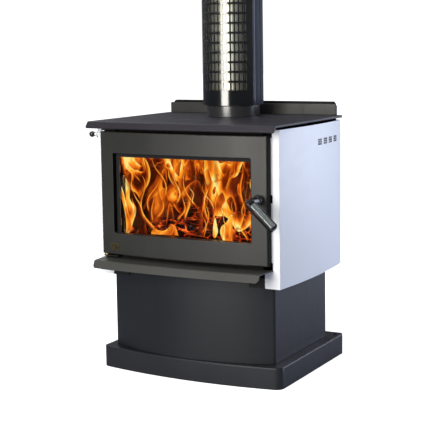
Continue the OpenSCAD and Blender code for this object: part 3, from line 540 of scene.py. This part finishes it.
def grid_faces(rows, columns, closed=False, start=0):
    """Quads of a grid of vertices laid out row by row; closed joins the last column to the first."""
    faces = []
    last = columns if closed else columns - 1
    for i in range(rows - 1):
        for j in range(last):
            k = (j + 1) % columns
            a = start + i * columns
            b = a + columns
            faces.append((a + j, a + k, b + k, b + j))
    return faces


# ---- door rope ----

ROPE_STEP = 1.25 * MM
ROPE_AROUND = 18
ROPE_STRANDS = 3
ROPE_PITCH = 13 * MM
ROPE_RELIEF = 0.11


def rope_line(low, high, inset, corner):
    """Evenly spaced points round a rectangle with rounded corners, in X and Z."""
    x0, x1 = low.x + inset, high.x - inset
    z0, z1 = low.z + inset, high.z - inset
    corners = [(x1 - corner, z0 + corner, -90), (x1 - corner, z1 - corner, 0),
               (x0 + corner, z1 - corner, 90), (x0 + corner, z0 + corner, 180)]
    arc = 18
    outline = []
    for cx, cz, start in corners:
        for i in range(arc + 1):
            angle = math.radians(start + 90 * i / arc)
            outline.append(Vector((cx + corner * math.cos(angle), cz + corner * math.sin(angle))))
    points = []
    for i, a in enumerate(outline):
        b = outline[(i + 1) % len(outline)]
        count = max(1, round((b - a).length / ROPE_STEP))
        points.extend(a.lerp(b, k / count) for k in range(count))
    return points


def make_rope(finishes):
    """Woven glass rope in the door's channel: two families of yarns wound opposite ways."""
    low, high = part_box("door_rope_seal")
    wall = 5 * MM
    depth = (high.y - low.y) / 2
    middle = (high.y + low.y) / 2
    line = rope_line(low, high, wall, 20 * MM - wall)
    count = len(line)
    turns = round(count * ROPE_STEP / ROPE_PITCH)
    vertices = []
    for i, point in enumerate(line):
        ahead = line[(i + 1) % count] - line[i - 1]
        outward = Vector((ahead.y, -ahead.x)).normalized()
        wind = 2 * math.pi * turns * i / count
        for j in range(ROPE_AROUND):
            angle = 2 * math.pi * j / ROPE_AROUND
            one = abs(math.sin(0.5 * (ROPE_STRANDS * angle + 2 * wind)))
            other = abs(math.sin(0.5 * (ROPE_STRANDS * angle - 2 * wind)))
            size = 1 - ROPE_RELIEF * (1 - max(one, other)) - ROPE_RELIEF * 0.5 * (1 - one * other)
            side = point + outward * (wall * size * math.cos(angle))
            vertices.append((side.x, middle + depth * size * math.sin(angle), side.y))
    faces = grid_faces(count + 1, ROPE_AROUND, closed=True)
    total = count * ROPE_AROUND
    faces = [tuple(v % total for v in face) for face in faces]
    rope = new_piece("door_rope", vertices, faces, finishes["rope"])
    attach(rope, "door")
    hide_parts("door_rope_seal")


# ---- fire ----

# the fuel opening is a little narrower than the glass that covers it
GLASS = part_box("door_glass")
GLASS_LAP = 0.3 * MM
FUEL_LEFT_X, FUEL_RIGHT_X = GLASS[0].x + GLASS_LAP, GLASS[1].x - GLASS_LAP
FUEL_LOW_Z = GLASS[0].z
HEARTH_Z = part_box("brick_floor")[1].z
BRICK_LEFT_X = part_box("brick_left")[1].x
BRICK_RIGHT_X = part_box("brick_right")[0].x
FIRE_FRONT_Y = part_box("firebox_front")[1].y
MANIFOLD_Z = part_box("air_manifold")[0].z
FLAME_FRONT_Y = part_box("firebox_front")[0].y + 1 * MM


def make_log(name, start, end, radius, seed, material):
    """A split and burning log: an uneven tube with bark ridges, a flat split side and closed ends."""
    rings = 90
    around = 56
    start, end = Vector(start), Vector(end)
    axis = (end - start).normalized()
    side = axis.cross(Vector((0, 0, 1))).normalized()
    lift = side.cross(axis)
    vertices = []
    caps = [0.0, 0.35, 0.7, 0.93]
    profile = [(0.0, c) for c in caps] + [(i / (rings - 1), 1.0) for i in range(rings)]
    profile += [(1.0, c) for c in reversed(caps)]
    for along, fill in profile:
        centre = start.lerp(end, along)
        bend = noise.noise(Vector((along * 2.0, seed, 0.0))) * radius * 0.5
        for j in range(around):
            angle = 2 * math.pi * j / around
            out = side * math.cos(angle) + lift * math.sin(angle)
            place = centre + out * radius + Vector((seed * 3.1, 0, 0))
            lumps = noise.fractal(place * 14, 0.8, 2.0, 4) * 0.16
            ridges = abs(noise.noise(Vector((along * 3.0, angle * 4.5, seed)))) * 0.22
            split = 0.22 * max(0.0, math.cos(angle - seed)) ** 2
            reach = radius * (1.0 + lumps - ridges - split) * fill
            dent = (1.0 - fill) * noise.noise(place * 60) * radius * 0.15
            vertices.append(centre + out * reach + lift * bend + axis * dent)
    faces = grid_faces(len(profile), around, closed=True)
    log = new_piece(name, vertices, faces, material)
    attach(log, "stove")


BED_MARGIN = 4 * MM
BED_SETBACK = 26 * MM
BED_REAR_Y = 0.12
COAL_COUNT = 150
COAL_INSET = 0.015


def make_coals(material, seed=11):
    """An uneven bed of ash with lumps of glowing charcoal lying in it."""
    rng = random.Random(seed)
    x0, x1 = BRICK_LEFT_X + BED_MARGIN, BRICK_RIGHT_X - BED_MARGIN
    y0, y1 = FIRE_FRONT_Y + BED_SETBACK, BED_REAR_Y
    columns, rows = 60, 46
    vertices = []
    for i in range(rows):
        for j in range(columns):
            x = x0 + (x1 - x0) * j / (columns - 1)
            y = y0 + (y1 - y0) * i / (rows - 1)
            edge = min(i, rows - 1 - i, j, columns - 1 - j) / 6
            swell = 0.014 + 0.012 * noise.fractal(Vector((x * 16, y * 16, seed)), 0.8, 2.0, 4)
            vertices.append((x, y, HEARTH_Z + 1 * MM + max(0.0, swell) * min(1.0, edge)))
    faces = grid_faces(rows, columns)
    for _ in range(COAL_COUNT):
        centre = Vector((rng.uniform(x0 + COAL_INSET, x1 - COAL_INSET),
                         rng.uniform(y0 + COAL_INSET, y1 - COAL_INSET), 0))
        size = rng.uniform(0.008, 0.019)
        centre.z = HEARTH_Z + 0.018 + rng.uniform(-0.3, 0.7) * size
        lump = bmesh.new()
        bmesh.ops.create_icosphere(lump, subdivisions=2, radius=size)
        flat = Vector((rng.uniform(0.8, 1.5), rng.uniform(0.8, 1.3), rng.uniform(0.6, 0.9)))
        offset = rng.uniform(0, 50)
        base = len(vertices)
        for v in lump.verts:
            rough = 1 + 0.35 * noise.noise(v.co * (1.6 / size) + Vector((offset, 0, 0)))
            vertices.append(centre + Vector((v.co.x * flat.x, v.co.y * flat.y, v.co.z * flat.z)) * rough)
        faces.extend(tuple(base + v.index for v in face.verts) for face in lump.faces)
        lump.free()
    bed = new_piece("ember_bed", vertices, faces, material)
    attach(bed, "stove")


def smooth(value, low, high):
    t = min(1.0, max(0.0, (value - low) / (high - low)))
    return t * t * (3 - 2 * t)


FLAME_LEFT_X = FUEL_LEFT_X + 1 * MM
FLAME_RIGHT_X = FUEL_RIGHT_X - 1 * MM
FLAME_LOW_Z = FUEL_LOW_Z + 1 * MM
FLAME_HIGH_Z = MANIFOLD_Z - 6 * MM


def make_sheet(name, material, depth, bow, seed):
    """A folded curtain of fire across the firebox, nearest to the glass at its sides."""
    columns, rows = 110, 66
    vertices = []
    for i in range(rows):
        for j in range(columns):
            u = j / (columns - 1)
            x = FLAME_LEFT_X + (FLAME_RIGHT_X - FLAME_LEFT_X) * u
            z = FLAME_LOW_Z + (FLAME_HIGH_Z - FLAME_LOW_Z) * i / (rows - 1)
            middle = math.sin(math.pi * u)
            fold = noise.fractal(Vector((x * 10, z * 6, seed)), 0.9, 2.0, 3)
            vertices.append((x, depth + (bow + 0.006 * fold) * middle, z))
    obj = new_piece(name, vertices, grid_faces(rows, columns), material)
    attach(obj, "stove")


class FlameMesh:
    """Collects many tongues of flame in one mesh, each point with its heat and its veil."""

    def __init__(self):
        self.vertices = []
        self.faces = []
        self.heat = []
        self.veil = []

    def tongue(self, rng, root, length, width, depth, glow):
        """A tapering, curling sheet: bright along one edge, thinning out towards the other."""
        steps, across = 48, 10
        side = rng.choice((-1, 1))
        lean = rng.uniform(-0.35, 0.35)
        sway = rng.uniform(0.25, 0.75)
        phase = rng.uniform(0, 1)
        waves = rng.uniform(0.7, 1.3)
        hook = rng.uniform(-1.5, 1.5)
        wave = rng.uniform(0, 30)
        point = Vector(root)
        base = len(self.vertices)
        for i in range(steps):
            t = i / (steps - 1)
            angle = lean + sway * math.sin(2 * math.pi * (waves * t + phase)) + hook * t ** 3
            heading = Vector((math.sin(angle), math.cos(angle)))
            normal = Vector((heading.y, -heading.x)) * side
            here = width * math.sin(math.pi * t ** 0.65) ** 0.9 * (1 - 0.55 * t)
            envelope = smooth(t, 0.0, 0.14) * (1 - smooth(t, 0.80, 1.0))
            for j in range(across):
                u = j / (across - 1)
                flat = point + normal * (here * u)
                bulge = 0.006 * noise.noise(Vector((flat.x * 13, flat.y * 9, wave)))
                x = min(max(flat.x, FLAME_LEFT_X), FLAME_RIGHT_X)
                z = min(max(flat.y, FLAME_LOW_Z), FLAME_HIGH_Z)
                y = max(depth + bulge + 0.35 * here * u * u, FLAME_FRONT_Y)
                self.vertices.append((x, y, z))
                rim = math.exp(-((u / 0.24) ** 2))
                body = math.exp(-u / 0.5)
                streak = 1 + 0.25 * noise.noise(Vector((t * 4.0 + wave, u * 5.0, 9.1)))
                self.heat.append(glow * (0.42 * rim + 0.50 * body) * streak * (0.5 + 0.5 * envelope))
                self.veil.append(envelope * (1 - smooth(u, 0.35, 1.0)) * (0.45 + 0.55 * rim))
            point = point + heading * (length / steps)
        self.faces.extend(grid_faces(steps, across, start=base))

    def build(self, name, material):
        obj = new_piece(name, self.vertices, self.faces, material)
        for key, values in (("fire_heat", self.heat), ("fire_veil", self.veil)):
            attribute = obj.data.attributes.new(key, "FLOAT", "POINT")
            attribute.data.foreach_set("value", values)
        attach(obj, "stove")


def make_flames(material, seed=5):
    """Tongues of flame at three depths: broad ones behind, thin wisps in front."""
    rng = random.Random(seed)
    layers = [
        ("flames_back", 9, (0.16, 0.26), (0.035, 0.060), (-0.185, -0.175), (0.70, 0.90)),
        ("flames_middle", 12, (0.10, 0.20), (0.018, 0.036), (-0.200, -0.190), (0.80, 1.00)),
        ("flames_front", 9, (0.05, 0.12), (0.010, 0.022), (-0.214, -0.206), (0.90, 1.15)),
    ]
    for name, count, lengths, widths, depths, glows in layers:
        layer = FlameMesh()
        for k in range(count):
            x = FLAME_LEFT_X + (FLAME_RIGHT_X - FLAME_LEFT_X) * (k + rng.random()) / count
            z = FLAME_LOW_Z + rng.random() ** 1.3 * 0.17
            layer.tongue(rng, (x, z), rng.uniform(*lengths), rng.uniform(*widths), rng.uniform(*depths),
                         rng.uniform(*glows))
        layer.build(name, material)


# name, one end, the other end, radius, seed
LOGS = [
    ("log_left", (-0.205, -0.085, 0.425), (0.085, -0.045, 0.415), 0.043, 1.3),
    ("log_right", (-0.02, -0.125, 0.420), (0.212, -0.065, 0.437), 0.040, 4.1),
    ("log_top", (-0.120, -0.020, 0.490), (0.165, -0.115, 0.478), 0.036, 7.9),
]
# name, scale of the folds, shift, gain, floor heat, depth, bow, seed
SHEETS = [
    ("back", 6.0, 3.0, 1.00, 0.06, -0.190, 0.030, 2.0),
    ("middle", 6.5, 8.0, 1.40, -0.12, -0.206, 0.022, 5.0),
    ("front", 7.5, 21.0, 1.75, -0.32, -0.219, 0.020, 9.0),
]


def make_fire():
    char = charred_wood("charred_wood")
    for name, start, end, radius, seed in LOGS:
        make_log(name, start, end, radius, seed, char)
    make_coals(ember_coal("ember_coal"))
    for name, scale, shift, gain, floor_heat, depth, bow, seed in SHEETS:
        material = flame_sheet("fire_" + name, scale, shift, gain, floor_heat)
        make_sheet("fire_sheet_" + name, material, depth, bow, seed)
    make_flames(flame_tongue("flame_tongue"))


# ---- shield rail beads ----

# angle from the shield's front in degrees, radius, finish; the bright bead's finish is a painted
# reflection, the dark bead's painted shade in the corner
BEADS = [(73.0, 1.5 * MM, "rail_edge_painted_reflection"), (91.5, 1.1 * MM, "backing_black")]
BEAD_ROWS = 60
BEAD_AROUND = 14


def make_rail_beads(finishes):
    """Rolled edges down both shield rails: a bright bluish bead coloured as a painted reflection and, at
    the corner, a dark one coloured as painted shade.
    """
    low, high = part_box("shield_rail_right")
    pipe_low, pipe_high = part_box("flue_pipe")
    centre_y = (pipe_low.y + pipe_high.y) / 2
    for angle, size, finish in BEADS:
        turn = math.radians(angle)
        vertices, faces = [], []
        for side in (-1, 1):
            base = len(vertices)
            for i in range(BEAD_ROWS):
                share = i / (BEAD_ROWS - 1)
                z = low.z + size + (high.z - low.z - 2 * size) * share
                end = min(1.0, min(share, 1 - share) * (BEAD_ROWS - 1) / 2)
                here = size * math.sin(0.5 * math.pi * max(end, 0.02))
                for j in range(BEAD_AROUND):
                    around = 2 * math.pi * j / BEAD_AROUND
                    out = high.x + here * math.cos(around)
                    slide = here * math.sin(around)
                    x = out * math.sin(turn) + slide * math.cos(turn)
                    y = centre_y - out * math.cos(turn) + slide * math.sin(turn)
                    vertices.append((side * x, y, z))
            faces.extend(grid_faces(BEAD_ROWS, BEAD_AROUND, closed=True, start=base))
        name = "rail_bead_" + str(round(angle))
        beads = new_piece(name, vertices, faces, finishes[finish])
        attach(beads, "stove")


# ---- casing screws ----


SCREW_RADIUS = 3.6 * MM
SCREW_FOOT = 0.02  # height of the lowest screws above the casing's lower edge
SCREW_EDGE = 0.012  # distance of the side screws from the casing's edges
SIDE_SCREWS = 6
SIDE_ROW_LESS = 0.09  # how much shorter than the casing each side row is
FOOT_SCREWS = 4
FOOT_MARGIN = 0.09  # distance of the outer foot screws from the casing's sides
CASING_SHEET = 1.5 * MM
COVER_EDGE = 0.014
COVER_END = 0.03


def screw_head(centre, outward, radius):
    """A pan head with a cross recess, as vertices and faces."""
    around, rings = 32, 7
    outward = Vector(outward).normalized()
    side = outward.orthogonal().normalized()
    other = outward.cross(side)
    vertices = []
    for i in range(rings):
        share = i / (rings - 1)
        for j in range(around):
            angle = 2 * math.pi * j / around
            a = radius * share * math.cos(angle)
            b = radius * share * math.sin(angle)
            dome = 0.55 * radius * math.sqrt(max(0.0, 1 - (share * 0.97) ** 2))
            in_cross = min(abs(a), abs(b)) < 0.13 * radius and max(abs(a), abs(b)) < 0.58 * radius
            height = dome - (0.30 * radius if in_cross else 0.0)
            vertices.append(Vector(centre) + side * a + other * b + outward * height)
    return vertices, grid_faces(rings, around, closed=True)


def make_screws(finishes):
    """Rows of pan head screws that hold the rear casing and the pedestal's rear cover."""
    low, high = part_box("rear_panel")
    cover_low, cover_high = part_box("pedestal_back")
    sheet_y = low.y + CASING_SHEET
    places = []
    for k in range(SIDE_SCREWS):
        z = low.z + SCREW_FOOT + (high.z - low.z - SIDE_ROW_LESS) * k / (SIDE_SCREWS - 1)
        places += [(low.x + SCREW_EDGE, sheet_y, z), (high.x - SCREW_EDGE, sheet_y, z)]
    for k in range(FOOT_SCREWS):
        x = low.x + FOOT_MARGIN + (high.x - low.x - 2 * FOOT_MARGIN) * k / (FOOT_SCREWS - 1)
        places.append((x, sheet_y, low.z + SCREW_FOOT))
    for x in (cover_low.x + COVER_EDGE, cover_high.x - COVER_EDGE):
        for z in (cover_low.z + COVER_END, cover_high.z - COVER_END):
            places.append((x, cover_high.y, z))
    vertices, faces = [], []
    for place in places:
        points, quads = screw_head(place, (0, 1, 0), SCREW_RADIUS)
        faces.extend(tuple(len(vertices) + v for v in quad) for quad in quads)
        vertices.extend(points)
    screws = new_piece("casing_screws", vertices, faces, finishes["zinc_steel"])
    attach(screws, "stove")


# ---- studio ----

FLOOR_HALF = 30.0
# distances from the stove's middle over which the floor clears to white
CLEAR_FROM = 0.45
CLEAR_TO = 1.3


def make_floor():
    """A plain pale floor that takes a soft shadow near the stove and clears to white beyond it."""
    vertices = [(-FLOOR_HALF, -FLOOR_HALF, 0), (FLOOR_HALF, -FLOOR_HALF, 0),
                (FLOOR_HALF, FLOOR_HALF, 0), (-FLOOR_HALF, FLOOR_HALF, 0)]
    s = Shader("floor")
    tone = s.mix(s.noise(40.0, 3.0), (0.80, 0.80, 0.80), (0.83, 0.83, 0.83))
    reach = s.add("ShaderNodeVectorMath", {0: s.place}, operation="LENGTH").outputs["Value"]
    clearing = s.remap(reach, CLEAR_FROM, CLEAR_TO, 0.72, 1.1)
    seen = s.add("ShaderNodeLightPath").outputs["Is Camera Ray"]
    strength = s.calc("MULTIPLY", clearing, seen)
    plain = s.principled(base_color=tone, roughness=0.9, specular_ior_level=0.1,
                         emission_color=(1.0, 1.0, 1.0), emission_strength=strength)
    grey = s.principled(base_color=(0.34, 0.36, 0.44), roughness=0.9, specular_ior_level=0.1)
    both = s.add("ShaderNodeMixShader", {0: seen, 1: grey, 2: plain}).outputs[0]
    floor = new_piece("floor", vertices, [(0, 1, 2, 3)], s.finish(both))


# name, place, target, width, height, power, colour
SOFTBOXES = [
    ("front_softbox", (-0.27, -3.5, 1.45), (0.0, -0.2, 0.75), 1.7, 2.5, 150.0, (1.0, 0.975, 0.91)),
    ("right_softbox", (2.15, 2.40, 1.05), (0.3, 0.1, 0.6), 2.2, 2.0, 82.0, (0.76, 0.83, 1.0)),
    ("left_softbox", (-2.4, 1.6, 3.0), (-0.3, 0.0, 0.6), 1.6, 1.6, 30.0, (0.90, 0.94, 1.0)),
    ("top_softbox", (0.0, -0.6, 3.3), (0.0, 0.0, 0.8), 2.0, 2.0, 40.0, (1.0, 1.0, 1.0)),
]
SEEN_WHITE = 1.05  # strength of the background as the camera sees it
ROOM_LIGHT = 0.16  # strength of the background as it lights the stove


def soft_light(name, place, target, width, height, power, colour):
    data = bpy.data.lights.new(name, "AREA")
    data.shape = "RECTANGLE"
    data.size = width
    data.size_y = height
    data.energy = power
    data.color = colour
    light = bpy.data.objects.new(name, data)
    light.location = place
    light.rotation_euler = (Vector(target) - Vector(place)).to_track_quat("-Z", "Y").to_euler()
    light.visible_camera = False
    bpy.context.scene.collection.objects.link(light)


def make_studio():
    make_floor()
    for softbox in SOFTBOXES:
        soft_light(*softbox)
    world = bpy.data.worlds.new("studio")
    world.use_nodes = True
    tree = world.node_tree
    tree.nodes.clear()
    seen = tree.nodes.new("ShaderNodeBackground")
    seen.inputs["Color"].default_value = (1.0, 1.0, 1.0, 1.0)
    seen.inputs["Strength"].default_value = SEEN_WHITE
    room = tree.nodes.new("ShaderNodeBackground")
    room.inputs["Color"].default_value = (0.93, 0.96, 1.0, 1.0)
    room.inputs["Strength"].default_value = ROOM_LIGHT
    path = tree.nodes.new("ShaderNodeLightPath")
    pick = tree.nodes.new("ShaderNodeMixShader")
    out = tree.nodes.new("ShaderNodeOutputWorld")
    tree.links.new(path.outputs["Is Camera Ray"], pick.inputs[0])
    tree.links.new(room.outputs[0], pick.inputs[1])
    tree.links.new(seen.outputs[0], pick.inputs[2])
    tree.links.new(pick.outputs[0], out.inputs["Surface"])
    bpy.context.scene.world = world
    bpy.context.scene.view_settings.view_transform = "Standard"


# ---- build ----

make_camera()
FINISHES = make_finishes()
dress_parts(FINISHES)
make_rope(FINISHES)
make_rail_beads(FINISHES)
make_screws(FINISHES)
make_fire()
make_studio()
